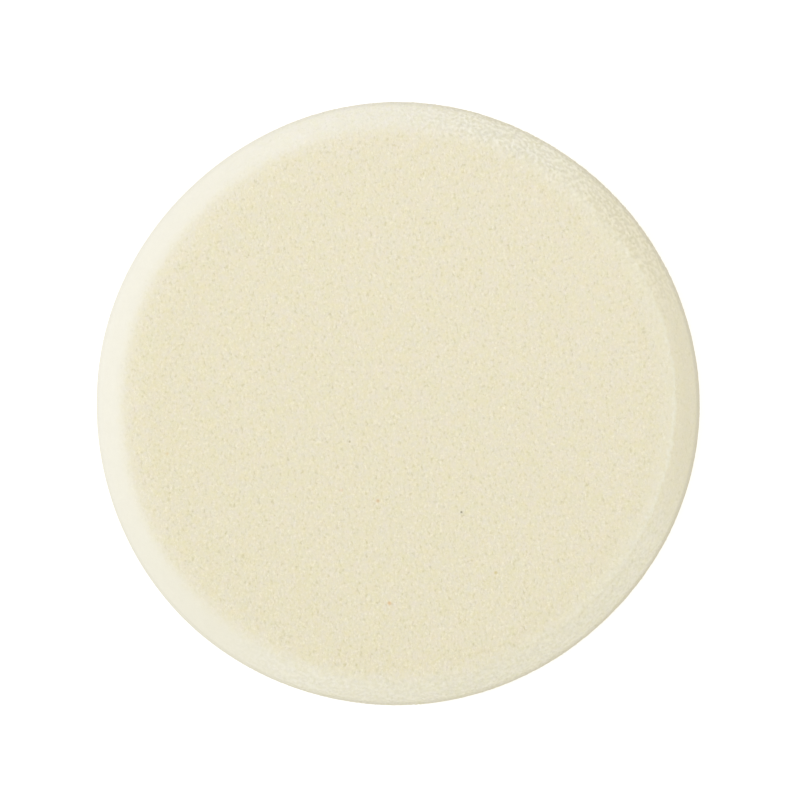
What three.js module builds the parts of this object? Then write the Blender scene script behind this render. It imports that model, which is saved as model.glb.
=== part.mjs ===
// A round makeup sponge, the kind that lies in a powder compact. It is one disc
// of fine-celled foam rubber: die-cut from a flat sheet, then buffed round its
// whole edge, on both faces, so that no corner drags on the skin. It has no
// cover, seam, core or strap, so there is nothing else to take apart.
// Sizes are in millimetres and +Z is up. The origin is the middle of the face
// that the sponge lies on.
import * as THREE from "three";

// The blank, as it is cut from the sheet
const DIAMETER = 60;
const THICKNESS = 8;

// The buffed edge, which is the same on both faces. Its section is one curve,
// drawn out by a short pull along the face and a longer one up the rim.
const BUFF_WIDTH = 3; // from the end of the flat face to the rim, seen from above
const SHOULDER_PULL = 0.9; // the shorter it is, the crisper the shoulder
const RIM_PULL = 2; // the longer it is, the more upright the rim

// How finely the round is cut into flats
const TURN_STEPS = 72;
const BUFF_STEPS = 8;

const IVORY = 0xe9e2c7;

// The section of the upper buffed edge, from the middle of the rim to the edge
// of the flat face. It leaves the rim upright and meets the face level, and no
// pull reaches past the edge itself.
function buffedEdge() {
  const rim = DIAMETER / 2;
  const flat = rim - BUFF_WIDTH;
  const half = THICKNESS / 2;
  const curve = new THREE.CubicBezierCurve(
    new THREE.Vector2(rim, 0),
    new THREE.Vector2(rim, Math.min(RIM_PULL, half)),
    new THREE.Vector2(flat + Math.min(SHOULDER_PULL, BUFF_WIDTH), half),
    new THREE.Vector2(flat, half),
  );
  return curve.getPoints(BUFF_STEPS);
}

// Half of the disc's section, from the axis on the lower face, round the rim,
// to the axis on the upper face. The lower edge mirrors the upper one.
function halfSection() {
  const half = THICKNESS / 2;
  const upper = buffedEdge();
  const lower = upper
    .slice(1)
    .reverse()
    .map((point) => new THREE.Vector2(point.x, -point.y));
  return [
    new THREE.Vector2(0, -half),
    ...lower,
    ...upper,
    new THREE.Vector2(0, half),
  ];
}

// The foam disc: the half section turned about its own axis, which is then
// stood up along +Z, and lifted so that the lower face lies at zero.
function foamDisc() {
  const geometry = new THREE.LatheGeometry(halfSection(), TURN_STEPS);
  const foam = new THREE.MeshStandardMaterial({
    color: IVORY,
    roughness: 0.95,
    metalness: 0,
  });
  const disc = new THREE.Mesh(geometry, foam);
  disc.name = "foam_disc";
  disc.rotation.x = Math.PI / 2;
  disc.position.z = THICKNESS / 2;
  return disc;
}

const sponge = new THREE.Group();
sponge.add(foamDisc());

export default sponge;
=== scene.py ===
"""A round makeup sponge, lying on a pale table and seen straight from above.

The sponge is one disc of fine-celled foam rubber. It was skived flat from a sheet,
die-cut to a round and buffed round its edge, on both faces. Its form and its surface
are two trees of geometry nodes: the first lays a box of small squares out as the
buffed disc, and the second opens the foam's cells, tears strands out of the edge on
two stretches, and raises a thin burr along the shoulder on another. The surface tree
leaves what it did in attributes, and the foam's material reads them.
"""

import logging
import math
from collections.abc import Sequence
from dataclasses import dataclass, field, fields
from enum import Enum

import bpy
from mathutils import Matrix, Vector


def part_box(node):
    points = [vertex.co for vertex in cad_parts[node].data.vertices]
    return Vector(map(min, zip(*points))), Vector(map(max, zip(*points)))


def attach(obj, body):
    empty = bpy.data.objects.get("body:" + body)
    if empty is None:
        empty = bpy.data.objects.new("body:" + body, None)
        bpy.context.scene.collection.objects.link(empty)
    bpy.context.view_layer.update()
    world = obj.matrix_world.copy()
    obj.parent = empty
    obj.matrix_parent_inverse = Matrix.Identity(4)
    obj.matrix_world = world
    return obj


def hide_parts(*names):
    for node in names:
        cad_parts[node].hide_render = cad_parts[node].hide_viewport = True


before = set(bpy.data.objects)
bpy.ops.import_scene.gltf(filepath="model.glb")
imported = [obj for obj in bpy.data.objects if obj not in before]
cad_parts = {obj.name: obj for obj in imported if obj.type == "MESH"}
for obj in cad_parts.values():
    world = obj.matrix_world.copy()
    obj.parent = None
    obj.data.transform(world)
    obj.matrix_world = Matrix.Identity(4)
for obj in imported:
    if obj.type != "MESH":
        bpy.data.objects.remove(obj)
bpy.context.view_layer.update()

MM = 0.001

# The kinds of node that the trees use most, and the settings that many of them share
MATH = "ShaderNodeMath"
VECTOR = "ShaderNodeVectorMath"
JOIN = "ShaderNodeCombineXYZ"
SPLIT = "ShaderNodeSeparateXYZ"
RANGE = "ShaderNodeMapRange"
NOISE = "ShaderNodeTexNoise"
MIX = "ShaderNodeMix"
SWITCH = "GeometryNodeSwitch"
STORE = "GeometryNodeStoreNamedAttribute"
SMOOTH = {"interpolation_type": "SMOOTHSTEP"}
COLOURS = {"data_type": "RGBA"}
ON_POINTS = {"data_type": "FLOAT", "domain": "POINT"}

# What the surface tree leaves in attributes for the material, each from 0 to 1
MARKS = ("ground", "torn", "strand", "kept", "burr", "lip", "waist")

log = logging.getLogger("makeup_sponge")

# What an input takes: an output socket, a node, a material, or a plain value
Feed = bpy.types.NodeSocket | bpy.types.Node | bpy.types.Material | float | int | bool | str | tuple


def linear(hex_colour: str) -> tuple[float, float, float, float]:
    """Turn an sRGB colour into the linear one that Blender works in.

    Args:
        hex_colour: six hex digits, such as "E9E2C7".

    Returns:
        The linear red, green and blue, and an alpha of 1.
    """
    shares = [int(hex_colour[i : i + 2], 16) / 255 for i in (0, 2, 4)]
    bent = [s / 12.92 if s <= 0.04045 else ((s + 0.055) / 1.055) ** 2.4 for s in shares]
    return (*bent, 1.0)


def add(
    tree: bpy.types.NodeTree, kind: str, feeds: dict[str, Feed] | Sequence[Feed] = (), **settings: str | bool
) -> bpy.types.Node:
    """Add one node to a tree, with its settings, values and links.

    Args:
        tree: the tree that gets the node.
        kind: the node's type, such as "ShaderNodeMath".
        feeds: what goes into its inputs, by their names or in their order: values,
            output sockets, or nodes, which stand for their first output in use.
        settings: the node's own properties.

    Returns:
        The new node.
    """
    node = tree.nodes.new(kind)
    for name, value in settings.items():
        setattr(node, name, value)
    for name, value in feeds.items() if isinstance(feeds, dict) else enumerate(feeds):
        if isinstance(name, int):
            socket = node.inputs[name]
        else:
            socket = next(s for s in node.inputs if s.name == name and s.enabled)
        if isinstance(value, bpy.types.Node):
            value = next(s for s in value.outputs if s.enabled)
        if isinstance(value, bpy.types.NodeSocket):
            tree.links.new(value, socket)
        else:
            socket.default_value = value
    return node


def new_tree(name: str, inputs: dict[str, str]) -> tuple[bpy.types.NodeTree, bpy.types.Node]:
    """Start a tree of geometry nodes with named inputs and one geometry output.

    Args:
        name: the tree's name.
        inputs: each input's name, and its socket type.

    Returns:
        The tree, and the node that holds its inputs.
    """
    tree = bpy.data.node_groups.new(name, "GeometryNodeTree")
    tree.interface.new_socket("Geometry", in_out="OUTPUT", socket_type="NodeSocketGeometry")
    for label, kind in inputs.items():
        tree.interface.new_socket(label, in_out="INPUT", socket_type=kind)
    return tree, tree.nodes.new("NodeGroupInput")


def modify(piece: bpy.types.Object, tree: bpy.types.NodeTree, values: dict[str, Feed]) -> None:
    """Put a tree of geometry nodes on a piece, and set its inputs.

    Args:
        piece: the object that the tree works on.
        tree: the tree.
        values: each input's value, by the input's name.
    """
    modifier = piece.modifiers.new(tree.name, "NODES")
    modifier.node_group = tree
    for socket in tree.interface.items_tree:
        if socket.in_out == "INPUT" and socket.name in values:
            modifier[socket.identifier] = values[socket.name]


def numbers(sizes: object) -> dict[str, float]:
    """Gather a dataclass's sizes and shares, by the names that a tree's inputs have.

    Args:
        sizes: the dataclass. Its fields of other types are passed over.

    Returns:
        Each plain number, by its field's name.
    """
    values = {entry.name: getattr(sizes, entry.name) for entry in fields(sizes)}
    return {name: value for name, value in values.items() if isinstance(value, float)}


def link_new(name: str, data: bpy.types.ID) -> bpy.types.Object:
    """Add an object to the scene.

    Args:
        name: the object's name.
        data: its mesh, lamp or camera.

    Returns:
        The new object.
    """
    made = bpy.data.objects.new(name, data)
    bpy.context.scene.collection.objects.link(made)
    return made


def settle(piece: bpy.types.Object) -> None:
    """Turn a piece with modifiers into the plain mesh that they make of it.

    Args:
        piece: the object, which keeps its name and loses its modifiers.
    """
    seen = piece.evaluated_get(bpy.context.evaluated_depsgraph_get())
    made = bpy.data.meshes.new_from_object(seen)
    piece.modifiers.clear()
    piece.data = made
    made.name = piece.name


@dataclass(frozen=True)
class Span:
    """Two values of something, between which a mark comes up.

    Attributes:
        none: the value at which nothing of the mark shows.
        full: the value at which all of it shows.
    """

    none: float
    full: float

    @property
    def ends(self) -> dict[str, float]:
        """Give the two values as the inputs of a Map Range node."""
        return {"From Min": self.none, "From Max": self.full}


# Nearly all of a noise lies between these two values
NOISE_SPAN = Span(0.3, 0.7)


@dataclass(frozen=True)
class Lobe:
    """One of the slow waves by which the die-cut outline is out of round.

    Attributes:
        count: how many waves go round the disc.
        reach: how far a crest stands out, in metres.
        crest: where one crest lies, in degrees from +X towards +Y.
    """

    count: int
    reach: float
    crest: float


@dataclass(frozen=True)
class Stretch:
    """A stretch of the edge where the buffing wheel left its mark.

    Attributes:
        middle: where its middle lies, in degrees from +X towards +Y.
        full: how far from the middle the mark is at its full strength, in degrees.
        reach: how far from the middle it ends, in degrees.
    """

    middle: float
    full: float
    reach: float

    def draw(self, tree: bpy.types.NodeTree, turn: Feed) -> bpy.types.Node:
        """Add the nodes that say how strong the mark is.

        Args:
            tree: the tree that gets them.
            turn: the angle of each point round the disc, in radians.

        Returns:
            The node that gives 1 along the stretch, and 0 away from it.
        """
        off = add(tree, MATH, [turn, math.radians(self.middle)], operation="SUBTRACT")
        facing = add(tree, MATH, [off], operation="COSINE")
        span = Span(math.cos(math.radians(self.reach)), math.cos(math.radians(self.full)))
        return add(tree, RANGE, {"Value": facing} | span.ends, **SMOOTH)


@dataclass(frozen=True)
class Drift:
    """Patches over which one tone of the foam comes and goes.

    Attributes:
        width: how wide a patch is.
        share: by what share the tone goes up or down.
        detail: how many sizes of finer patches lie in it.
        roughness: how strong each finer size is beside the last.
        level: how high up the endless pattern is cut, so that two drifts of one width differ.
    """

    width: float
    share: float
    detail: float
    roughness: float
    level: float = 0.0

    def draw(self, tree: bpy.types.NodeTree, place: Feed) -> bpy.types.Node:
        """Add the nodes of the drift.

        Args:
            tree: the material's tree.
            place: where each point lies.

        Returns:
            The node that gives the share by which the tone changes, about 0.
        """
        cut = add(tree, VECTOR, [place, (0.0, 0.0, self.level)], operation="ADD")
        patches = {"Vector": cut, "Scale": 1 / self.width, "Detail": self.detail}
        noise = add(tree, NOISE, patches | {"Roughness": self.roughness})
        limits = {"To Min": -self.share, "To Max": self.share}
        return add(tree, RANGE, {"Value": noise} | NOISE_SPAN.ends | limits)


@dataclass
class BuffedDisc:
    """The sponge's form: a flat disc with a buffed edge, as one closed skin.

    Attributes:
        low: the lowest corner of the disc's box.
        high: its highest corner.
        buff_width: from the end of the flat face to the rim, seen from above.
        shoulder_pull: how far the edge's curve first runs on along the face.
        rim_pull: how far it runs straight up from the middle of the rim.
        steps: how many points the curve is worked out at.
        roll: how much lower the edge lies than its curve alone would have it.
        roll_width: how far from the shoulder, on both sides, the skin sinks to that.
        waver: by what share the buffed width changes along the edge.
        wavers: how quickly it changes, in patches of noise to a radius.
        waver_span: the values of that noise at which it is least and most.
        side: how much of the section lies on the box's side, above the rim's middle.
        spacing: the side of a square of the skin.
        map_radius: the radius of a face's round map, in a map one unit wide.
        map_shift: how far the upper face's map lies from the middle along both axes,
            while the lower face's lies as far the other way.
        lobes: the waves of the outline.
    """

    low: Vector
    high: Vector
    buff_width: float = 3.0 * MM
    shoulder_pull: float = 0.9 * MM
    rim_pull: float = 2.0 * MM
    steps: int = 96
    roll: float = 0.60 * MM
    roll_width: float = 2.6 * MM
    waver: float = 0.05
    wavers: float = 1.3
    waver_span: Span = Span(0.25, 0.75)
    side: float = 2.0 * MM
    spacing: float = 0.14 * MM
    map_radius: float = 0.285
    map_shift: float = -0.208
    lobes: tuple[Lobe, ...] = (
        Lobe(2, 0.083 * MM, 39),
        Lobe(3, 0.075 * MM, -12),
        Lobe(4, 0.047 * MM, -4),
        Lobe(5, 0.030 * MM, 10),
        Lobe(6, 0.028 * MM, -19),
    )

    @property
    def radius(self) -> float:
        """Give the disc's radius."""
        return (self.high.x - self.low.x) / 2

    def sizes(self) -> dict[str, float]:
        """Name the disc's sizes as the tree's inputs do."""
        return {"radius": self.radius, "half": (self.high.z - self.low.z) / 2} | numbers(self)

    def tree(self) -> bpy.types.NodeTree:
        """Build the tree that lays the squares of a box out as the disc.

        The box's upper and lower faces become the disc's, ring by ring, and its four
        sides become the middle of the rim. How far along the section a point lies,
        from the axis, is kept in the attribute "run".

        Returns:
            The tree, with the disc's sizes as its inputs.
        """
        tree, inputs = new_tree("buffed_disc", dict.fromkeys(self.sizes(), "NodeSocketFloat"))
        size = inputs.outputs
        radius, half, side = size["radius"], size["half"], size["side"]

        # The section's curve, from the end of the flat face to the middle of the rim
        flat = add(tree, MATH, [radius, size["buff_width"]], operation="SUBTRACT")
        pulled = add(tree, MATH, [flat, size["shoulder_pull"]], operation="ADD")
        corners = {
            "Start": add(tree, JOIN, {"X": flat, "Z": half}),
            "Start Handle": add(tree, JOIN, {"X": pulled, "Z": half}),
            "End Handle": add(tree, JOIN, {"X": radius, "Z": size["rim_pull"]}),
            "End": add(tree, JOIN, {"X": radius}),
        }
        edge = add(tree, "GeometryNodeCurvePrimitiveBezierSegment", {"Resolution": self.steps} | corners)
        edge_run = add(tree, "GeometryNodeCurveLength", {"Curve": edge})
        whole_run = add(tree, MATH, [flat, edge_run], operation="ADD")
        face_run = add(tree, MATH, [whole_run, side], operation="SUBTRACT")

        # The box of squares, two units a side, with a row of points round its middle
        twice = add(tree, MATH, [face_run, 2.0], operation="MULTIPLY")
        across = add(tree, MATH, [twice, size["spacing"]], operation="DIVIDE")
        rows = add(tree, MATH, [side, size["spacing"]], operation="DIVIDE")
        whole_rows = add(tree, MATH, [rows], operation="ROUND")
        deep = add(tree, MATH, [whole_rows, 2.0, 1.0], operation="MULTIPLY_ADD")
        counts = {"Vertices X": across, "Vertices Y": across, "Vertices Z": deep}
        box = add(tree, "GeometryNodeMeshCube", {"Size": (2.0, 2.0, 2.0)} | counts)

        # Each square ring of the box becomes a round one, by the turn of each point
        x, y, z = add(tree, SPLIT, [add(tree, "GeometryNodeInputPosition")]).outputs
        size_x, size_y, height = (add(tree, MATH, [place], operation="ABSOLUTE") for place in (x, y, z))
        ring = add(tree, MATH, [size_x, size_y], operation="MAXIMUM")
        by_x = add(tree, "FunctionNodeCompare", {"A": size_x, "B": size_y}, operation="GREATER_EQUAL")
        major = add(tree, SWITCH, {"Switch": by_x, "False": y, "True": x}, input_type="FLOAT")
        minor = add(tree, SWITCH, {"Switch": by_x, "False": x, "True": y}, input_type="FLOAT")
        slope = add(tree, MATH, [minor, major], operation="DIVIDE")
        turn = add(tree, MATH, [slope, math.pi / 4], operation="MULTIPLY")
        sign = add(tree, MATH, [major], operation="SIGN")
        cosine = add(tree, MATH, [turn], operation="COSINE")
        sine = add(tree, MATH, [turn], operation="SINE")
        main = add(tree, MATH, [cosine, sign], operation="MULTIPLY")
        aside = add(tree, MATH, [sine, sign], operation="MULTIPLY")
        way_x = add(tree, SWITCH, {"Switch": by_x, "False": aside, "True": main}, input_type="FLOAT")
        way_y = add(tree, SWITCH, {"Switch": by_x, "False": main, "True": aside}, input_type="FLOAT")
        way = add(tree, JOIN, {"X": way_x, "Y": way_y})

        # How far along the section each point lies
        on_face = add(tree, MATH, [ring, face_run], operation="MULTIPLY")
        down = add(tree, MATH, [1.0, height], operation="SUBTRACT")
        run = add(tree, MATH, [down, side, on_face], operation="MULTIPLY_ADD")
        past = add(tree, MATH, [run, flat], operation="SUBTRACT")
        share = add(tree, MATH, [past, edge_run], operation="DIVIDE", use_clamp=True)
        sampled = add(tree, "GeometryNodeSampleCurve", {"Curves": edge, "Factor": share}, mode="FACTOR")
        section = add(tree, SPLIT, [sampled.outputs["Position"]])

        # The buffed width wavers, because the edge is ground by eye
        drift = add(tree, NOISE, {"Vector": way, "Scale": size["wavers"], "Detail": 1.0})
        least = add(tree, MATH, [1.0, size["waver"]], operation="SUBTRACT")
        most = add(tree, MATH, [1.0, size["waver"]], operation="ADD")
        limits = {"To Min": least, "To Max": most}
        width = add(tree, RANGE, {"Value": drift} | self.waver_span.ends | limits)
        inside = add(tree, MATH, [radius, section.outputs["X"]], operation="SUBTRACT")
        cut = add(tree, MATH, [inside, width], operation="MULTIPLY")
        edge_reach = add(tree, MATH, [radius, cut], operation="SUBTRACT")
        full_cut = add(tree, MATH, [size["buff_width"], width], operation="MULTIPLY")
        face_end = add(tree, MATH, [radius, full_cut], operation="SUBTRACT")
        stretch = add(tree, MATH, [face_end, flat], operation="DIVIDE")
        short = add(tree, MATH, [past, 0.0], operation="MINIMUM")
        reach = add(tree, MATH, [short, stretch, edge_reach], operation="MULTIPLY_ADD")

        # The outline's waves
        angle = add(tree, MATH, [way_y, way_x], operation="ARCTAN2")
        for lobe in self.lobes:
            start = math.radians(lobe.count * lobe.crest)
            phase = add(tree, MATH, [angle, float(lobe.count), -start], operation="MULTIPLY_ADD")
            wave = add(tree, MATH, [phase], operation="COSINE")
            swing = add(tree, MATH, [wave, reach], operation="MULTIPLY")
            reach = add(tree, MATH, [swing, lobe.reach / self.radius, reach], operation="MULTIPLY_ADD")

        # The face rolls gently down before its end, and carries the edge with it
        roll_start = add(tree, MATH, [flat, size["roll_width"]], operation="SUBTRACT")
        roll_end = add(tree, MATH, [flat, size["roll_width"]], operation="ADD")
        rolled = add(tree, RANGE, {"Value": run, "From Min": roll_start, "From Max": roll_end}, **SMOOTH)
        drop = add(tree, MATH, [size["roll"], half], operation="DIVIDE")
        lost = add(tree, MATH, [rolled, drop], operation="MULTIPLY")
        left = add(tree, MATH, [1.0, lost], operation="SUBTRACT")
        rise = add(tree, MATH, [section.outputs["Z"], left], operation="MULTIPLY")
        face_side = add(tree, MATH, [z], operation="SIGN")
        level = add(tree, MATH, [rise, face_side, half], operation="MULTIPLY_ADD")

        # Two round maps of the skin, one for each face
        measured = add(tree, STORE, {"Geometry": box, "Name": "run", "Value": run}, **ON_POINTS)
        above = add(tree, "GeometryNodeFieldOnDomain", [z], domain="FACE", data_type="FLOAT")
        turned = add(tree, MATH, [above], operation="SIGN")
        map_share = add(tree, MATH, [run, whole_run], operation="DIVIDE")
        map_reach = add(tree, MATH, [map_share, size["map_radius"]], operation="MULTIPLY")
        centre = add(tree, MATH, [turned, size["map_shift"], 0.5], operation="MULTIPLY_ADD")
        flip = add(tree, MATH, [way_x, turned], operation="MULTIPLY")
        map_x = add(tree, MATH, [flip, map_reach, centre], operation="MULTIPLY_ADD")
        map_y = add(tree, MATH, [way_y, map_reach, centre], operation="MULTIPLY_ADD")
        laid = {"Geometry": measured, "Name": "OFBake", "Value": add(tree, JOIN, {"X": map_x, "Y": map_y})}
        mapped = add(tree, STORE, laid, data_type="FLOAT2", domain="CORNER")
        far = add(tree, VECTOR, {"Vector": way, "Scale": reach}, operation="SCALE")
        raised = add(tree, JOIN, {"Z": level})
        spot = add(tree, VECTOR, [far, raised], operation="ADD")
        shaped = add(tree, "GeometryNodeSetPosition", {"Geometry": mapped, "Position": spot})
        add(tree, "NodeGroupOutput", [shaped])
        return tree

    def shape(self, piece: bpy.types.Object) -> None:
        """Give a piece the disc's form."""
        modify(piece, self.tree(), self.sizes())


@dataclass(frozen=True)
class CellGrain:
    """The foam's cells, as fields that its relief and its colours both draw.

    The real cells are 0.2 to 0.3 mm across. They are drawn a little coarser, because a
    pixel of the picture is 0.1 mm and a square of the skin 0.14 mm. Only the relief
    draws the strands, and it stores them for the colours.

    Attributes:
        pit: the spacing of the cells that the blade cut open.
        wall: the spacing of the thin walls that stand between them.
        grain: the spacing of the whole cells under the skin.
        fine: the spacing of the finest grain.
        strand: the spacing of the strands that are torn out of the edge.
        strand_length: how long they are.
        patch: the width of the patches over which the grain comes and goes.
        uneven: by what share it comes and goes.
        blade: the way in which the blade went, in degrees from +X towards +Y.
        drawn: how many times longer the blade left the grain along its way.
        seed: which stretch of the endless pattern is used.
        seed_step: how far apart two such stretches lie.
        mouth_bend: how far the mouths of the open cells are bent.
        wall_bend: how far the walls are bent.
        open_span: the values of the cells' noise between which a cell opens.
        whole_span: the values of it between which a wall stands whole.
        wall_span: how far from its middle line a wall ends, and stands full, as noise.
        strand_span: the values of the strands' waves between which a strand stands up.
    """

    pit: float = 0.27 * MM
    wall: float = 0.31 * MM
    grain: float = 0.24 * MM
    fine: float = 0.16 * MM
    strand: float = 0.50 * MM
    strand_length: float = 0.70 * MM
    patch: float = 0.8 * MM
    uneven: float = 0.35
    blade: float = 103
    drawn: float = 1.2
    seed: int = 3
    seed_step: float = 100 * MM
    mouth_bend: float = 0.5
    wall_bend: float = 0.9
    open_span: Span = Span(0.36, 0.22)
    whole_span: Span = Span(0.49, 0.62)
    wall_span: Span = Span(0.07, 0.0)
    strand_span: Span = Span(0.42, 0.60)

    def sizes(self) -> dict[str, float]:
        """Name the spacings that both trees draw, as their inputs do."""
        return {name: getattr(self, name) for name in ("pit", "wall", "grain", "fine", "patch")}

    def draw(
        self, tree: bpy.types.NodeTree, place: Feed, sizes: dict[str, Feed]
    ) -> dict[str, bpy.types.Node]:
        """Add the nodes of the cells to a tree.

        Args:
            tree: the tree of the relief, or that of the material.
            place: where each point lies.
            sizes: the spacings, as numbers or as the tree's own inputs.

        Returns:
            The nodes that give "pit" and "wall", from 0 to 1, and "grain" and "fine",
            about 0.
        """
        # Squeezed along the blade's way, so that the grain comes out longer there
        blade = {"Axis": (0.0, 0.0, 1.0), "Angle": -math.radians(self.blade)}
        along = add(tree, "ShaderNodeVectorRotate", {"Vector": place} | blade)
        drawn = add(tree, VECTOR, [along, (1 / self.drawn, 1.0, 1.0)], operation="MULTIPLY")
        moved = add(tree, VECTOR, [drawn, (self.seed_step * self.seed,) * 3], operation="ADD")
        scale = {name: add(tree, MATH, [1.0, size], operation="DIVIDE") for name, size in sizes.items()}

        # Over some patches the blade smeared the grain, and over others it tore it
        patches = add(tree, NOISE, {"Vector": moved, "Scale": scale["patch"], "Detail": 1.0})
        limits = {"To Min": 1 - self.uneven, "To Max": 1 + self.uneven}
        strength = add(tree, RANGE, {"Value": patches} | NOISE_SPAN.ends | limits)

        # Open cells, with bent and uneven mouths
        mouths = {"Scale": scale["pit"], "Detail": 0.0, "Distortion": self.mouth_bend}
        holes = add(tree, NOISE, {"Vector": moved} | mouths)
        opened = add(tree, RANGE, {"Value": holes} | self.open_span.ends, **SMOOTH)
        pit = add(tree, MATH, [opened, strength], operation="MULTIPLY")

        # Thin walls, along the middle level of a bent noise, where no cell is open
        bends = add(tree, NOISE, {"Vector": moved, "Scale": scale["wall"], "Distortion": self.wall_bend})
        off = add(tree, MATH, [bends, 0.5], operation="SUBTRACT")
        near = add(tree, MATH, [off], operation="ABSOLUTE")
        thin = add(tree, RANGE, {"Value": near} | self.wall_span.ends, **SMOOTH)
        whole = add(tree, RANGE, {"Value": holes} | self.whole_span.ends)
        standing = add(tree, MATH, [thin, whole], operation="MULTIPLY")
        wall = add(tree, MATH, [standing, strength], operation="MULTIPLY")

        # The grain of whole cells under the skin, and the finest grain
        marks = {"pit": pit, "wall": wall}
        for name in ("grain", "fine"):
            noise = add(tree, NOISE, {"Vector": moved, "Scale": scale[name], "Detail": 1.0})
            level = add(tree, MATH, [noise, 0.5], operation="SUBTRACT")
            marks[name] = add(tree, MATH, [level, strength], operation="MULTIPLY")
        return marks

    def strands(self, tree: bpy.types.NodeTree, place: Feed) -> bpy.types.Node:
        """Add the nodes of the strands that torn cells leave, which lie every way.

        Args:
            tree: the tree of the relief.
            place: where each point lies.

        Returns:
            The node that gives 1 along a strand, and 0 between two.
        """
        waves = {"Scale": 1 / self.strand_length, "Frequency": self.strand_length / self.strand}
        every_way = {"Vector": place, "Anisotropy": 0.0}
        tangle = add(tree, "ShaderNodeTexGabor", every_way | waves, gabor_type="3D")
        return add(tree, RANGE, {"Value": tangle} | self.strand_span.ends, **SMOOTH)


@dataclass
class FoamSurface:
    """What gives the disc's smooth form the surface of cut and buffed foam.

    All sizes are in metres. A height is how far the skin moves out, and a depth is
    how far it moves in.

    Attributes:
        grain: the foam's cells.
        shoulder: how far along the section, from the axis, the flat face ends.
        middle: the height of the rim's middle above the table.
        ragged: how far the shoulder strays to and fro.
        strays: how often it strays, in times a metre.
        blend: how wide the change from the skived skin to the buffed one is.
        buffed_span: at which shares of that width, past the shoulder, the change
            starts and ends.
        sag_width: how wide the slow swells of the skived face are.
        sag: how high they are.
        pit_depth: how deep an open cell is.
        wall_height: how high the walls between the cells stand.
        grain_height: how rough the grain of whole cells is.
        smoothed: which share of the grain the wheel takes off all round the edge.
        polished: which share it takes off where it bit most.
        lip_smoothed: how much of that it also takes off the face behind the burr.
        closed: which share more is missing where the wheel bit least, because it left
            the cells there as the die closed them.
        loosened: which share of the grain goes with the torn cells.
        strand_height: how far a torn strand stands above the gap beside it.
        burr_height: how far the shoulder's burr stands up.
        burr_width: how wide it is.
        burr_place: how far past the face's end it stands.
        burr_least: which share of its height is left where the grain lies lowest.
        lump_span: the grain at which the burr is lowest and highest.
        lip_width: how far in from the burr the face is pressed smooth and pale, the pale partly a painted
            highlight.
        lip_span: at which shares of that width the pressing starts and is full.
        waist: how far above and below the rim's middle the die's own cut shows, as a darker band that is
            partly the cut's own tone and partly painted shade on the steep rim.
        waist_span: at which shares of that height it ends and is full.
        rim_span: at which shares of the blend it starts and is full.
        painted_shade_turn: where round the disc the band is darkest, in degrees from +X towards +Y: the side
            away from the key light, so there it is painted shade.
        waist_least: how far it shows on the side that the key light falls on.
        skinned: how far that painted shade reaches above the waist, where the wheel bit least, on the side
            away from the key light.
        skinned_span: at which shares of the blend that starts and is full.
        skived: how much of the face's darker colour is painted on where the wheel bit least, on the side away
            from the key light, as painted shade.
        bitten: where the wheel bit most.
        torn: where the edge is torn.
        frayed: where it is torn a little.
        fray: how much it is torn there.
        spared: where the wheel bit least, on the side away from the key light, which is also where the edge
            is painted darker as painted shade.
        burred: where the wheel left the shoulder its burr.
        pressed: where it pressed the face down, behind the burr.
        pressed_burr: how much of a burr it left there.
    """

    grain: CellGrain
    shoulder: float
    middle: float
    ragged: float = 0.9 * MM
    strays: float = 1 / (0.55 * MM)
    blend: float = 2.5 * MM
    buffed_span: Span = Span(-0.46, 0.54)
    sag_width: float = 6.0 * MM
    sag: float = 0.03 * MM
    pit_depth: float = 0.020 * MM
    wall_height: float = 0.025 * MM
    grain_height: float = 0.090 * MM
    smoothed: float = 0.2
    polished: float = 0.94
    lip_smoothed: float = 0.6
    closed: float = 0.25
    loosened: float = 0.1
    strand_height: float = 0.060 * MM
    burr_height: float = 0.062 * MM
    burr_width: float = 0.28 * MM
    burr_place: float = 0.36 * MM
    burr_least: float = 0.45
    lump_span: Span = Span(-0.15, 0.1)
    lip_width: float = 1.5 * MM
    lip_span: Span = Span(-1.5, -0.3)
    waist: float = 1.35 * MM
    waist_span: Span = Span(1.2, 0.7)
    rim_span: Span = Span(0.65, 1.0)
    painted_shade_turn: int = -10
    waist_least: float = 0.15
    skinned: float = 0.2
    skinned_span: Span = Span(0.3, 0.8)
    skived: float = 0.6
    bitten: Stretch = Stretch(middle=187, full=40, reach=98)
    torn: Stretch = Stretch(middle=54, full=14, reach=43)
    frayed: Stretch = Stretch(middle=-70, full=35, reach=60)
    fray: float = 0.46
    spared: Stretch = Stretch(middle=14, full=20, reach=45)
    burred: Stretch = Stretch(middle=-6, full=8, reach=36)
    pressed: Stretch = Stretch(middle=0, full=20, reach=70)
    pressed_burr: float = 0.48

    def sizes(self) -> dict[str, float]:
        """Name the surface's sizes and the foam's spacings as the tree's inputs do."""
        return numbers(self) | self.grain.sizes()

    def tree(self) -> bpy.types.NodeTree:
        """Build the tree that roughens the disc.

        It leaves the attributes of MARKS. "ground" is how far the skin has the buffed
        edge's colour, and "kept" is the share of the grain that is left.

        Returns:
            The tree, with the surface's sizes and the foam's material as its inputs.
        """
        names = {"Geometry": "NodeSocketGeometry", "Foam": "NodeSocketMaterial"}
        tree, inputs = new_tree("foam_surface", names | dict.fromkeys(self.sizes(), "NodeSocketFloat"))
        size = inputs.outputs
        place = add(tree, "GeometryNodeInputPosition")
        run = add(tree, "GeometryNodeInputNamedAttribute", {"Name": "run"}, data_type="FLOAT")
        x, y, z = add(tree, SPLIT, [place]).outputs
        turn = add(tree, MATH, [y, x], operation="ARCTAN2")
        spared_here = self.spared.draw(tree, turn)
        burred_here = self.burred.draw(tree, turn)
        pressed_here = self.pressed.draw(tree, turn)
        frayed_here = add(tree, MATH, [self.frayed.draw(tree, turn), size["fray"]], operation="MULTIPLY")
        torn_here = add(tree, MATH, [self.torn.draw(tree, turn), frayed_here], operation="MAXIMUM")
        cells = self.grain.draw(tree, place, {name: size[name] for name in self.grain.sizes()})

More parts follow.
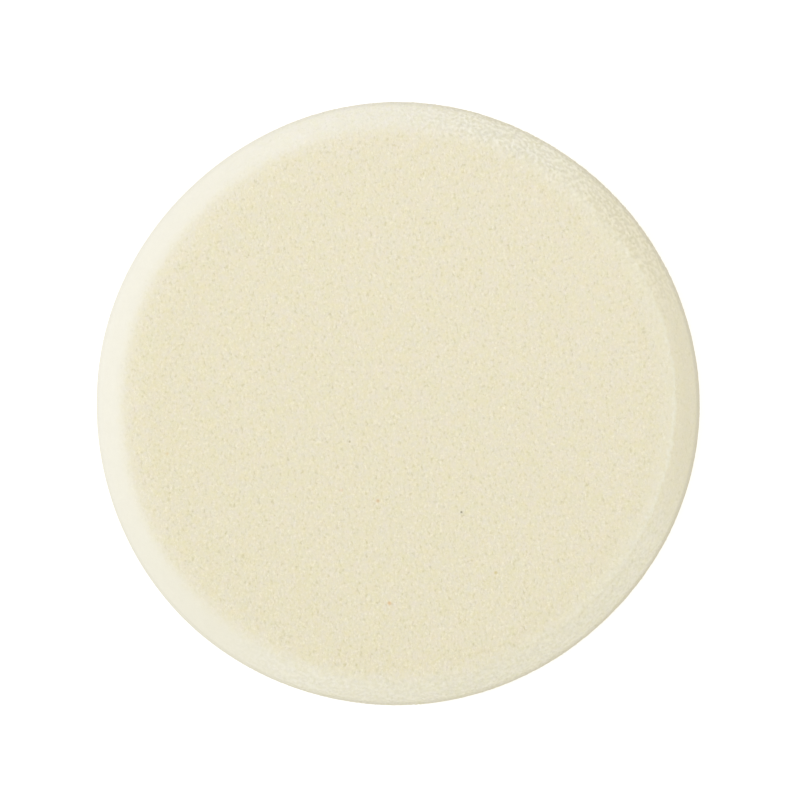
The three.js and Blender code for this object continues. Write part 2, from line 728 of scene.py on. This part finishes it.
        # The edge starts at the shoulder, which strays to and fro
        ways = add(tree, NOISE, {"Vector": place, "Scale": size["strays"], "Detail": 2.0})
        stray = add(tree, MATH, [ways, 0.5], operation="SUBTRACT")
        wild_run = add(tree, MATH, [stray, size["ragged"], run], operation="MULTIPLY_ADD")
        past = add(tree, MATH, [wild_run, size["shoulder"]], operation="SUBTRACT")
        share = add(tree, MATH, [past, size["blend"]], operation="DIVIDE")
        buffed = add(tree, RANGE, {"Value": share} | self.buffed_span.ends, **SMOOTH)
        torn = add(tree, MATH, [buffed, torn_here], operation="MULTIPLY")
        strand = add(tree, MATH, [self.grain.strands(tree, place), torn], operation="MULTIPLY")

        # Behind the burr, the wheel pressed the face smooth
        behind = add(tree, MATH, [past, size["lip_width"]], operation="DIVIDE")
        pressed = add(tree, RANGE, {"Value": behind} | self.lip_span.ends, **SMOOTH)
        lip_end = add(tree, MATH, [size["burr_place"], size["burr_width"]], operation="ADD")
        ends = {"From Min": lip_end, "From Max": size["burr_place"]}
        inside = add(tree, RANGE, {"Value": past} | ends, **SMOOTH)
        flattened = add(tree, MATH, [pressed, inside], operation="MULTIPLY")
        lip = add(tree, MATH, [flattened, pressed_here], operation="MULTIPLY")

        # Where the wheel bit the edge least, on the side away from the key light, it is painted some of the
        # face's darker colour: painted shade
        spared = add(tree, MATH, [spared_here, buffed], operation="MULTIPLY")
        painted_edge_shade = add(tree, MATH, [spared, size["skived"]], operation="MULTIPLY")
        ground = add(tree, MATH, [buffed, painted_edge_shade], operation="SUBTRACT")

        # How much of the grain is left, where the wheel bit it off
        limits = {"To Min": size["smoothed"], "To Max": size["polished"]}
        bite = add(tree, RANGE, {"Value": self.bitten.draw(tree, turn)} | limits)
        untorn = add(tree, MATH, [buffed, torn], operation="SUBTRACT")
        rubbed = add(tree, MATH, [lip, size["lip_smoothed"], untorn], operation="MULTIPLY_ADD")
        bitten_off = add(tree, MATH, [rubbed, bite], operation="MULTIPLY")
        taken = add(tree, MATH, [spared, size["closed"], bitten_off], operation="MULTIPLY_ADD")
        left = add(tree, MATH, [1.0, taken], operation="SUBTRACT")
        loose = add(tree, MATH, [torn, size["loosened"]], operation="MULTIPLY")
        kept = add(tree, MATH, [left, loose], operation="SUBTRACT")

        # The burr stands where the wheel left the face
        from_crest = add(tree, MATH, [past, size["burr_place"]], operation="SUBTRACT")
        from_burr = add(tree, MATH, [from_crest, size["burr_width"]], operation="DIVIDE")
        burr_off = add(tree, MATH, [from_burr], operation="ABSOLUTE")
        crest = add(tree, RANGE, {"Value": burr_off} | Span(1.0, 0.0).ends, **SMOOTH)
        low = {"Value": cells["grain"], "To Min": size["burr_least"]}
        lumps = add(tree, RANGE, low | self.lump_span.ends)
        lumpy = add(tree, MATH, [crest, lumps], operation="MULTIPLY")
        little = add(tree, MATH, [pressed_here, size["pressed_burr"]], operation="MULTIPLY")
        most = add(tree, MATH, [burred_here, little], operation="MAXIMUM")
        burr = add(tree, MATH, [lumpy, most], operation="MULTIPLY")

        # The die's own cut shows round the waist as a darker band, partly its own tone and partly painted
        # shade, darkest on the side away from the key light
        above = add(tree, MATH, [z, size["middle"]], operation="SUBTRACT")
        from_waist = add(tree, MATH, [above], operation="ABSOLUTE")
        waist_share = add(tree, MATH, [from_waist, size["waist"]], operation="DIVIDE")
        round_waist = add(tree, RANGE, {"Value": waist_share} | self.waist_span.ends, **SMOOTH)
        on_rim = add(tree, RANGE, {"Value": share} | self.rim_span.ends)
        away = add(tree, MATH, [turn, math.radians(self.painted_shade_turn)], operation="SUBTRACT")
        facing = add(tree, MATH, [away], operation="COSINE")
        painted_shade_share = add(tree, RANGE, {"Value": facing, "To Min": size["waist_least"]} | Span(-1.0, 1.0).ends)
        rim_waist = add(tree, MATH, [round_waist, on_rim], operation="MULTIPLY")
        waist_and_painted_shade = add(tree, MATH, [rim_waist, painted_shade_share], operation="MULTIPLY")
        # Painted shade: above the waist the band reaches further up the rim on the side away from the key
        # light
        outer = add(tree, RANGE, {"Value": share} | self.skinned_span.ends, **SMOOTH)
        painted_shade_above_waist = add(tree, MATH, [outer, spared_here], operation="MULTIPLY")
        waist = add(tree, MATH, [painted_shade_above_waist, size["skinned"], waist_and_painted_shade], operation="MULTIPLY_ADD")

        # How far the skin moves, one cause after another
        swells = add(tree, MATH, [1.0, size["sag_width"]], operation="DIVIDE")
        swell = add(tree, NOISE, {"Vector": place, "Scale": swells, "Detail": 1.0})
        sway = add(tree, MATH, [swell, 0.5], operation="SUBTRACT")
        height = add(tree, MATH, [sway, size["sag"]], operation="MULTIPLY")
        inward = add(tree, MATH, [size["pit_depth"], -1.0], operation="MULTIPLY")
        causes = (
            (cells["pit"], kept, inward),
            (cells["wall"], kept, size["wall_height"]),
            (cells["grain"], kept, size["grain_height"]),
            (strand, 1.0, size["strand_height"]),
            (burr, 1.0, size["burr_height"]),
        )
        for mark, strength, reach in causes:
            lift = add(tree, MATH, [mark, strength], operation="MULTIPLY")
            height = add(tree, MATH, [lift, reach, height], operation="MULTIPLY_ADD")

        skin = size["Geometry"]
        for name, value in zip(MARKS, (ground, torn, strand, kept, burr, lip, waist), strict=True):
            skin = add(tree, STORE, {"Geometry": skin, "Name": name, "Value": value}, **ON_POINTS)
        normal = add(tree, "GeometryNodeInputNormal")
        out = add(tree, VECTOR, {"Vector": normal, "Scale": height}, operation="SCALE")
        moved = add(tree, "GeometryNodeSetPosition", {"Geometry": skin, "Offset": out})
        cut = add(tree, "GeometryNodeTriangulate", [moved], quad_method="SHORTEST_DIAGONAL")
        smooth = add(tree, "GeometryNodeSetShadeSmooth", {"Geometry": cut, "Shade Smooth": True})
        made = add(tree, "GeometryNodeRealizeInstances", [smooth])
        dressed = add(tree, "GeometryNodeSetMaterial", {"Geometry": made, "Material": size["Foam"]})
        add(tree, "NodeGroupOutput", [dressed])
        return tree

    def roughen(self, piece: bpy.types.Object, foam: bpy.types.Material) -> None:
        """Give a piece that has the disc's form its surface and its material."""
        modify(piece, self.tree(), {"Foam": foam} | self.sizes())


class Skin(Enum):
    """How a stretch of the foam's skin was cut, which sets its colours."""

    # Sliced by a blade: its cells lie open, so it looks creamy and speckled
    SKIVED = "face"
    # Ground by a wheel: its crushed cells scatter more light, so it looks chalky and paler
    BUFFED = "edge"
    # Pressed through by the die: its cells are closed, so it looks greyer and duller; on the rim it also
    # serves as painted shade
    DIE_CUT = "waist"


@dataclass(frozen=True)
class FoamFinish:
    """The colours of one kind of skin.

    Attributes:
        foam: the foam itself.
        pit: the inside of an open cell, where the light goes to and fro: painted shade in the cell, and in
            the gap between strands.
        pale: a wall or strand that stands up and lets light through: partly its own paler tone, partly a
            painted highlight.
    """

    foam: str
    pit: str
    pale: str


@dataclass(frozen=True)
class Fleck:
    """A speck in the upper face: a blown cell, or a crumb of unmixed filler.

    Attributes:
        x: how far it lies from the axis along +X, in metres.
        y: how far it lies from the axis along +Y, in metres.
        width: how wide it is, in metres.
        colour: its colour, in hex digits.
    """

    x: float
    y: float
    width: float
    colour: str


@dataclass(frozen=True)
class FoamRubber:
    """Nitrile foam rubber: matt and chalky, with no gloss at any angle.

    Attributes:
        grain: the foam's cells, as its relief has them.
        disc: the form that the foam is cut to.
        finishes: the colours of each kind of skin.
        flecks: the specks that stand out on the upper face.
        burr: the colour of the burr, and of the skin pressed behind it: partly their own pale tone, partly a
            painted highlight on the burr's flank that faces the key light.
        burr_pale_and_highlight: how far the burr has that colour.
        lip: how far the pressed skin has it, beside the burr.
        pale: how far a wall or a strand has its paler colour, partly its own tone and partly a painted
            highlight.
        deep: how far an open cell has its deeper colour, as painted shade.
        gap: how deep the painted shade in the gap between two strands is, beside an open cell.
        dusting: by what share the finest grains are paler or darker.
        yellower: the patches of yellower and less yellow foam.
        pinker: the patches of pinker and greener foam.
        streaky: the faint streaks that the wheel left on the edge.
        yellowing: by what share the foam is yellower at the rim on -X, and at that on
            -Y, than at the axis.
        painted_falloff: by what share it is painted darker there, as painted shade where the light falls off.
        bump: how far the grain that is too fine for the mesh stands up.
        roughness: how matt it is.
        gloss: how much of the usual gloss its dusty surface has left.
    """

    grain: CellGrain
    disc: BuffedDisc
    finishes: dict[Skin, FoamFinish] = field(
        default_factory=lambda: {
            # Each pit colour is painted shade for open cells, and each pale colour is partly painted
            # highlight
            Skin.SKIVED: FoamFinish(foam="ECE5CA", pit="BCB682", pale="FFF8DE"),
            Skin.BUFFED: FoamFinish(foam="EFEBD8", pit="CBC8AC", pale="FEFBEB"),
            Skin.DIE_CUT: FoamFinish(foam="DDD8C4", pit="C9C2A2", pale="EAE4D2"),
        }
    )
    flecks: tuple[Fleck, ...] = (
        Fleck(6.34 * MM, -10.66 * MM, 0.38 * MM, "5E5638"),
        Fleck(-4.70 * MM, -3.70 * MM, 0.36 * MM, "B8AE84"),
        Fleck(-0.77 * MM, -19.65 * MM, 0.64 * MM, "E3C294"),
        Fleck(-1.92 * MM, -9.55 * MM, 0.58 * MM, "DFC298"),
        Fleck(9.72 * MM, -16.63 * MM, 0.58 * MM, "D8C990"),
        Fleck(-22.71 * MM, -4.89 * MM, 0.50 * MM, "E7D4AC"),
        Fleck(-5.50 * MM, -8.48 * MM, 0.55 * MM, "ECD7B8"),
    )
    burr: str = "FCFFF4"
    burr_pale_and_highlight: float = 0.36
    lip: float = 0.30
    pale: float = 0.54
    deep: float = 0.22
    gap: float = 0.7
    dusting: float = 0.04
    yellower: Drift = Drift(0.95 * MM, 0.11, detail=4.0, roughness=0.85)
    pinker: Drift = Drift(0.95 * MM, 0.019, detail=3.0, roughness=0.75, level=0.7)
    streaky: Drift = Drift(1.6 * MM, 0.015, detail=3.0, roughness=0.9)
    yellowing: tuple[float, float] = (0.0105, 0.012)
    painted_falloff: tuple[float, float] = (0.0, 0.022)
    bump: float = 0.04 * MM
    roughness: float = 0.95
    gloss: float = 0.15

    def colour(self, tree: bpy.types.NodeTree, kind: str, marks: dict[str, Feed]) -> bpy.types.Node:
        """Add the nodes that give one of the foam's colours on every kind of skin.

        Args:
            tree: the material's tree.
            kind: which of a finish's colours: "foam", "pit" or "pale".
            marks: what the surface tree left in attributes.

        Returns:
            The node whose first output in use is the colour.
        """
        shades = {skin: linear(getattr(finish, kind)) for skin, finish in self.finishes.items()}
        edge = {"Factor": marks["ground"], "A": shades[Skin.SKIVED], "B": shades[Skin.BUFFED]}
        waist = {"Factor": marks["waist"], "A": add(tree, MIX, edge, **COLOURS), "B": shades[Skin.DIE_CUT]}
        return add(tree, MIX, waist, **COLOURS)

    def material(self) -> bpy.types.Material:
        """Build the foam's material.

        Returns:
            The material, which reads the marks that the surface tree leaves.
        """
        material = bpy.data.materials.new("nitrile_foam_skived_and_buffed")
        material.use_nodes = True
        tree = material.node_tree
        tree.nodes.clear()
        marks = {name: add(tree, "ShaderNodeAttribute", attribute_name=name).outputs["Fac"] for name in MARKS}
        kept, ground, strand = marks["kept"], marks["ground"], marks["strand"]
        place = add(tree, "ShaderNodeTexCoord").outputs["Object"]
        cells = self.grain.draw(tree, place, self.grain.sizes())

        # The sheet is a little yellower towards -X and -Y, and painted a little darker towards -Y: painted
        # shade where the light falls off
        slopes = []
        for by_x, by_y in (self.yellowing, self.painted_falloff):
            slope = (by_x / self.disc.radius, by_y / self.disc.radius, 0.0)
            drift = add(tree, VECTOR, [place, slope], operation="DOT_PRODUCT").outputs["Value"]
            slopes.append(add(tree, MATH, [drift, 1.0], operation="ADD"))
        blueness, painted_falloff_level = slopes

        # The foam is yellower or pinker in some patches, and its edge is faintly streaked
        warmth, depth, rubbed = (d.draw(tree, place) for d in (self.pinker, self.yellower, self.streaky))
        red = add(tree, MATH, [warmth, kept, 1.0], operation="MULTIPLY_ADD")
        blue = add(tree, MATH, [depth, kept, blueness], operation="MULTIPLY_ADD")
        tone = add(tree, JOIN, {"X": red, "Y": 1.0, "Z": blue})
        # Painted shade: the edge's streaks ride on the painted falloff towards -Y
        streaks_and_painted_falloff = add(tree, MATH, [rubbed, ground, painted_falloff_level], operation="MULTIPLY_ADD")
        level = add(tree, VECTOR, {"Vector": tone, "Scale": streaks_and_painted_falloff}, operation="SCALE")
        toned = add(tree, VECTOR, [self.colour(tree, "foam", marks), level], operation="MULTIPLY")

        # Walls and strands are painted paler, partly their own tone and partly painted highlight, and open
        # cells and the gap between strands get painted shade
        raised = add(tree, MATH, [cells["wall"], kept], operation="MULTIPLY")
        between = add(tree, MATH, [marks["torn"], strand], operation="SUBTRACT")
        painted_gap_shade = add(tree, MATH, [between, self.gap], operation="MULTIPLY")
        standing = add(tree, MATH, [raised, strand], operation="ADD")
        # Painted highlight on walls and strands that stand up, partly their own paler tone
        paler = add(tree, MATH, [standing, self.pale], operation="MULTIPLY", use_clamp=True)
        pale = self.colour(tree, "pale", marks)
        with_painted_highlights = add(tree, MIX, {"Factor": paler, "A": toned, "B": pale}, **COLOURS)
        # Painted shade in open cells and between strands
        painted_hollow_shade = add(tree, MATH, [cells["pit"], kept, painted_gap_shade], operation="MULTIPLY_ADD")
        deeper = add(tree, MATH, [painted_hollow_shade, self.deep], operation="MULTIPLY", use_clamp=True)
        pit = self.colour(tree, "pit", marks)
        with_painted_hollow_shade = add(tree, MIX, {"Factor": deeper, "A": with_painted_highlights, "B": pit}, **COLOURS)
        both = add(tree, MATH, [cells["fine"], cells["grain"]], operation="ADD")
        dusty = add(tree, MATH, [both, kept], operation="MULTIPLY")
        value = add(tree, MATH, [dusty, self.dusting, 1.0], operation="MULTIPLY_ADD")
        grained = add(tree, "ShaderNodeHueSaturation", {"Value": value, "Color": with_painted_hollow_shade})

        # The burr and the skin pressed behind it are pale and a little green: partly their own tone, partly a
        # painted highlight on the burr's flank that faces the key light
        pressed = add(tree, MATH, [marks["lip"], self.lip, marks["burr"]], operation="MULTIPLY_ADD")
        burr_pale_and_highlight = add(tree, MATH, [pressed, self.burr_pale_and_highlight], operation="MULTIPLY", use_clamp=True)
        shade = add(tree, MIX, {"Factor": burr_pale_and_highlight, "A": grained, "B": linear(self.burr)}, **COLOURS)

        # The few specks that the eye finds
        for fleck in self.flecks:
            spot = (fleck.x, fleck.y, self.disc.high.z)
            off = add(tree, VECTOR, [place, spot], operation="DISTANCE").outputs["Value"]
            inside = add(tree, RANGE, {"Value": off} | Span(fleck.width / 2, 0.0).ends, **SMOOTH)
            shade = add(tree, MIX, {"Factor": inside, "A": shade, "B": linear(fleck.colour)}, **COLOURS)

        # The grain that is finer than the mesh
        dust = add(tree, MATH, [dusty, self.bump], operation="MULTIPLY")
        bump = add(tree, "ShaderNodeBump", {"Height": dust, "Distance": 1.0})
        matt = {"Roughness": self.roughness, "Specular IOR Level": self.gloss}
        surface = add(tree, "ShaderNodeBsdfPrincipled", {"Base Color": shade, "Normal": bump} | matt)
        add(tree, "ShaderNodeOutputMaterial", {"Surface": surface})
        return material


class Sponge:
    """The whole sponge, which is one piece of foam."""

    def __init__(self) -> None:
        """Read the disc's box from the frame."""
        low, high = (Vector(corner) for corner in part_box("foam_disc"))
        self.disc = BuffedDisc(low, high)
        self.grain = CellGrain()
        self.surface = FoamSurface(
            grain=self.grain,
            shoulder=self.disc.radius - self.disc.buff_width,
            middle=(high.z + low.z) / 2,
        )
        self.foam = FoamRubber(self.grain, self.disc)

    def build(self) -> bpy.types.Object:
        """Build the sponge and put it in the frame.

        Returns:
            The finished piece.
        """
        piece = link_new("foam_disc_skin", bpy.data.meshes.new("foam_disc_skin"))
        self.disc.shape(piece)
        self.surface.roughen(piece, self.foam.material())
        settle(piece)

        # It rests on its highest grains
        lowest = min(vertex.co.z for vertex in piece.data.vertices)
        piece.data.transform(Matrix.Translation((0.0, 0.0, -lowest)))
        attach(piece, "root")
        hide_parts("foam_disc")
        return piece


@dataclass(frozen=True)
class Softbox:
    """A square lamp that faces the sponge.

    Attributes:
        name: what it is for.
        azimuth: where it hangs, in degrees from +X towards +Y.
        elevation: how high it hangs, in degrees above the table.
        away: how far off it hangs, in metres.
        side: how wide it is, in metres.
        colour: its linear colour.
        level: how strongly it lights a white surface that faces it.
    """

    name: str
    azimuth: float
    elevation: float
    away: float
    side: float
    colour: tuple[float, float, float]
    level: float

    def hang(self, centre: Vector) -> bpy.types.Object:
        """Hang the lamp so that it faces a point.

        Args:
            centre: the point.

        Returns:
            The lamp.
        """
        lamp = bpy.data.lights.new(self.name, "AREA")
        lamp.shape = "SQUARE"
        lamp.size = self.side
        lamp.color = self.colour
        # What a white surface sends back is a lamp's power over (pi times its distance) squared
        lamp.energy = self.level * math.pi**2 * self.away**2
        turn, tilt = math.radians(self.azimuth), math.radians(self.elevation)
        way = Vector((math.cos(turn) * math.cos(tilt), math.sin(turn) * math.cos(tilt), math.sin(tilt)))
        hung = link_new(self.name, lamp)
        facing = way.to_track_quat("Z", "Y").to_matrix().to_4x4()
        hung.matrix_world = Matrix.Translation(centre + way * self.away) @ facing
        return hung


@dataclass
class Studio:
    """The table, the lights and the camera.

    Attributes:
        centre: the point that the lamps face, in metres.
        room: the linear colour of the even light that fills the room.
        softboxes: the lamps.
        table: how far the table top runs from the sponge on each side.
        table_colour: its colour, in hex digits.
        table_roughness: how matt it is.
        glow: how strongly it shines to the camera, so that it shows white there.
        eye: where the camera is, in metres.
        lens: its focal length, in millimetres.
        film: how wide its film is, in millimetres.
        sight: how far it sees, in metres.
    """

    centre: Vector = field(default_factory=lambda: Vector((0.0, 0.0, 0.006)))
    room: tuple[float, float, float, float] = (0.915, 0.899, 0.844, 1.0)
    softboxes: tuple[Softbox, ...] = (
        Softbox("cool_key_softbox", 170, 27, away=1.2, side=0.8, colour=(0.54, 0.62, 1.0), level=0.326),
    )
    table: float = 4.0
    table_colour: str = "F2F2F2"
    table_roughness: float = 0.9
    glow: float = 0.4
    eye: tuple[float, float, float] = (0.27 * MM, 0.42 * MM, 447.0 * MM)
    lens: float = 200.0
    film: float = 36.0
    sight: float = 20.0

    def seen(self, tree: bpy.types.NodeTree) -> bpy.types.Node:
        """Add the nodes that tell which rays show the background.

        Args:
            tree: the tree of a material or of the world.

        Returns:
            The node that gives 1 to a ray from the camera, a gloss or a glass.
        """
        path = add(tree, "ShaderNodeLightPath").outputs
        direct = add(tree, MATH, [path["Is Camera Ray"], path["Is Glossy Ray"]], operation="MAXIMUM")
        return add(tree, MATH, [direct, path["Is Transmission Ray"]], operation="MAXIMUM")

    def floor(self) -> bpy.types.Object:
        """Lay the table top, of matt white laminate: even, with no grain and no mirror image.

        Returns:
            The table top.
        """
        far = self.table
        mesh = bpy.data.meshes.new("table_top")
        mesh.from_pydata([(-far, -far, 0), (far, -far, 0), (far, far, 0), (-far, far, 0)], [], [(0, 1, 2, 3)])
        material = bpy.data.materials.new("matt_white_table_laminate")
        material.use_nodes = True
        tree = material.node_tree
        tree.nodes.clear()
        lift = add(tree, MATH, [self.seen(tree), self.glow], operation="MULTIPLY")
        finish = {"Base Color": linear(self.table_colour), "Roughness": self.table_roughness}
        shine = {"Emission Color": (1.0, 1.0, 1.0, 1.0), "Emission Strength": lift}
        surface = add(tree, "ShaderNodeBsdfPrincipled", finish | shine)
        add(tree, "ShaderNodeOutputMaterial", {"Surface": surface})
        mesh.materials.append(material)
        top = link_new("table_top", mesh)
        return top

    def world(self) -> None:
        """Fill the room with even light, and show white behind the table."""
        world = bpy.data.worlds.new("studio_room")
        bpy.context.scene.world = world
        world.use_nodes = True
        tree = world.node_tree
        tree.nodes.clear()
        backdrop = {"Factor": self.seen(tree), "A": self.room, "B": (1.0, 1.0, 1.0, 1.0)}
        background = add(tree, "ShaderNodeBackground", {"Color": add(tree, MIX, backdrop, **COLOURS)})
        add(tree, "ShaderNodeOutputWorld", {"Surface": background})

    def camera(self) -> None:
        """Look straight down through a long lens."""
        data = bpy.data.cameras.new("camera")
        data.lens = self.lens
        data.sensor_width = self.film
        data.clip_end = self.sight
        camera = link_new("camera", data)
        camera.location = self.eye
        bpy.context.scene.camera = camera

    def build(self) -> None:
        """Set up everything that isn't the sponge."""
        self.camera()
        self.floor()
        self.world()
        for softbox in self.softboxes:
            softbox.hang(self.centre)
        bpy.context.scene.view_settings.view_transform = "Standard"


def main() -> None:
    """Build the studio and the sponge."""
    logging.basicConfig(level=logging.INFO, format="%(message)s")
    Studio().build()
    piece = Sponge().build()
    log.info("%s: %d triangles", piece.name, len(piece.data.polygons))
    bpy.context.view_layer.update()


if __name__ == "__main__":
    main()
